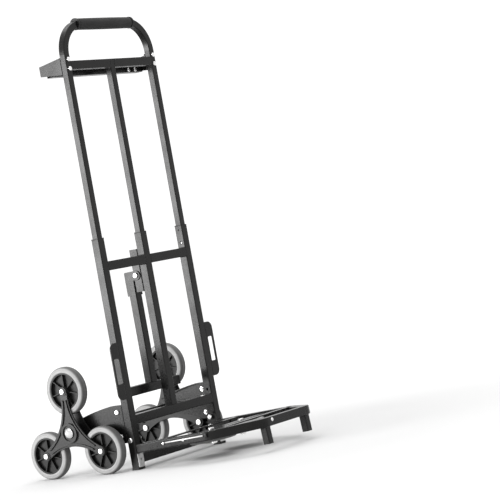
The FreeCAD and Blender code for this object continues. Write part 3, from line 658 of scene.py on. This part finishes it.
def runner_blocks(places):
    """Small plastic blocks with rounded edges, centred on the places."""
    bm = bmesh.new()
    for place in places:
        made = bmesh.ops.create_cube(bm, size=1.0)
        matrix = Matrix.Translation(place) @ Matrix.Diagonal((*BLOCK_SIZE, 1.0))
        bmesh.ops.transform(bm, matrix=matrix, verts=made["verts"])
        edges = {e for v in made["verts"] for e in v.link_edges}
        bmesh.ops.bevel(bm, geom=list(edges), offset=0.0011, segments=3, affect="EDGES", profile=0.6)
    mesh = bpy.data.meshes.new("toe_runner_blocks")
    bm.to_mesh(mesh)
    bm.free()
    mesh.transform(RAISE)
    obj = bpy.data.objects.new("toe_runner_blocks", mesh)
    bpy.context.scene.collection.objects.link(obj)
    mesh.materials.append(FINISH["black_plastic"])
    smooth(obj, 50.0)
    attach(obj, "toe")


def side_runners():
    """On each toe side: a bright rod held by two rivets, and its plastic end block."""
    lo, hi = level_box("toe_sides")
    z = lo.z + (hi.z - lo.z) * 0.62
    rods, rivets, blocks = [], [], []
    for s in (-1, 1):
        x = s * hi.x
        rods.append(runner_rod(x + s * 0.0012, z))
        for ahead in RUNNER_RIVETS:
            rivets.append(pan_head((x, HINGE.y - ahead, z - 0.0015), (s, 0, 0), 0.0042, 0.0040))
        blocks.append((x + s * 0.0018, HINGE.y - RUNNER_BLOCK, z))
    verts, faces = merge(rods)
    piece("toe_runner_rods", raised(verts), faces, "toe", "zinc", 40.0, PAD)
    verts, faces = merge(rivets)
    piece("toe_runner_rivets", raised(verts), faces, "toe", "zinc", 40.0)
    runner_blocks(blocks)


def toe_screw():
    """The bright screw in the front tube, beside the left foot."""
    lo, hi = level_box("toe_front")
    z = lo.z + (hi.z - lo.z) * 0.66
    verts, faces = pan_head((lo.x + 0.006, lo.y, z), (0, -1, 0), 0.0048, 0.0026)
    piece("toe_front_screw", raised(verts), faces, "toe", "zinc", 40.0)


# ---------------------------------------------------------------- floor, light, camera
FLOOR_REACH = 60.0
CAMERA_X = -4.1975
CAMERA_AHEAD = 3.3684      # in front of the rails' front faces
CAMERA_Z = 0.5620
CAMERA_TURN = math.radians(-52.31)
CAMERA_TILT = math.radians(-0.16)
CAMERA_ROLL = math.radians(-10.24)


def floor():
    """Pale paper, a little greyer under the trolley so that its contact shadows show."""
    n = Nodes("floor_paper")
    fibre = n.noise(300.0, 3.0, 0.6)
    away = n.add("ShaderNodeVectorMath", operation="LENGTH")
    n.link(n.where, away.inputs[0])
    far = n.span(away.outputs["Value"], 0.7, 4.0)
    paper = n.mix(n.span(fibre, 0.3, 0.7), grey(0.55), grey(0.57))
    colour = n.mix(far, paper, grey(0.96))
    mat = n.set(color=colour, rough=0.8, spec=0.2, normal=n.bump(fibre, 0.05, 0.0002))
    mesh = bpy.data.meshes.new("floor")
    corners = [(x * FLOOR_REACH, y * FLOOR_REACH, 0) for x, y in ((-1, -1), (1, -1), (1, 1), (-1, 1))]
    mesh.from_pydata(corners, [], [(0, 1, 2, 3)])
    mesh.materials.append(mat)
    obj = bpy.data.objects.new("floor", mesh)
    bpy.context.scene.collection.objects.link(obj)


def world():
    """Even white light from all round, which is also the backdrop."""
    w = bpy.data.worlds.new("studio")
    bpy.context.scene.world = w
    w.use_nodes = True
    back = w.node_tree.nodes["Background"]
    back.inputs["Color"].default_value = (1.0, 1.0, 1.0, 1.0)
    back.inputs["Strength"].default_value = 1.1


def softbox(name, where, aim, width, height, power):
    light = bpy.data.lights.new(name, "AREA")
    light.shape = "RECTANGLE"
    light.size = width
    light.size_y = height
    light.energy = power
    obj = bpy.data.objects.new(name, light)
    bpy.context.scene.collection.objects.link(obj)
    obj.location = where
    obj.rotation_mode = "QUATERNION"
    obj.rotation_quaternion = (Vector(aim) - Vector(where)).to_track_quat("-Z", "Y")


def camera():
    """A long lens from the front left at mid height, rolled so that the trolley leans."""
    flat = math.cos(CAMERA_TILT)
    back = Vector((math.sin(CAMERA_TURN) * flat, -math.cos(CAMERA_TURN) * flat, math.sin(CAMERA_TILT)))
    right = Vector((math.cos(CAMERA_TURN), math.sin(CAMERA_TURN), 0.0))
    up = back.cross(right)
    across = right * math.cos(CAMERA_ROLL) + up * math.sin(CAMERA_ROLL)
    over = up * math.cos(CAMERA_ROLL) - right * math.sin(CAMERA_ROLL)
    data = bpy.data.cameras.new("camera")
    data.sensor_width = 36.0
    data.lens = 142.27
    data.shift_x = 0.1354
    data.shift_y = -0.0187
    data.clip_start = 0.1
    data.clip_end = 200.0
    obj = bpy.data.objects.new("camera", data)
    bpy.context.scene.collection.objects.link(obj)
    obj.rotation_mode = "QUATERNION"
    obj.rotation_quaternion = Matrix((across, over, back)).transposed().to_quaternion()
    obj.location = (CAMERA_X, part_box("rail_right")[0].y - CAMERA_AHEAD, CAMERA_Z)
    bpy.context.scene.camera = obj


# ---------------------------------------------------------------- the scene
finish_nodes()
wheel_tyres()
spare_tyres()
grip()
frame_welds()
prop_welds()
toe_welds()
hook_screws()
side_runners()
toe_screw()
floor()
world()
softbox("key_left", where=(-3.4, 2.6, 0.85), aim=(0, 0, 0.5), width=2.4, height=1.6, power=230.0)
softbox("top", where=(0.3, 0.2, 4.2), aim=(0, 0, 0), width=4.0, height=4.0, power=120.0)
camera()
scene = bpy.context.scene
scene.view_settings.view_transform = "Standard"
scene.view_settings.look = "None"
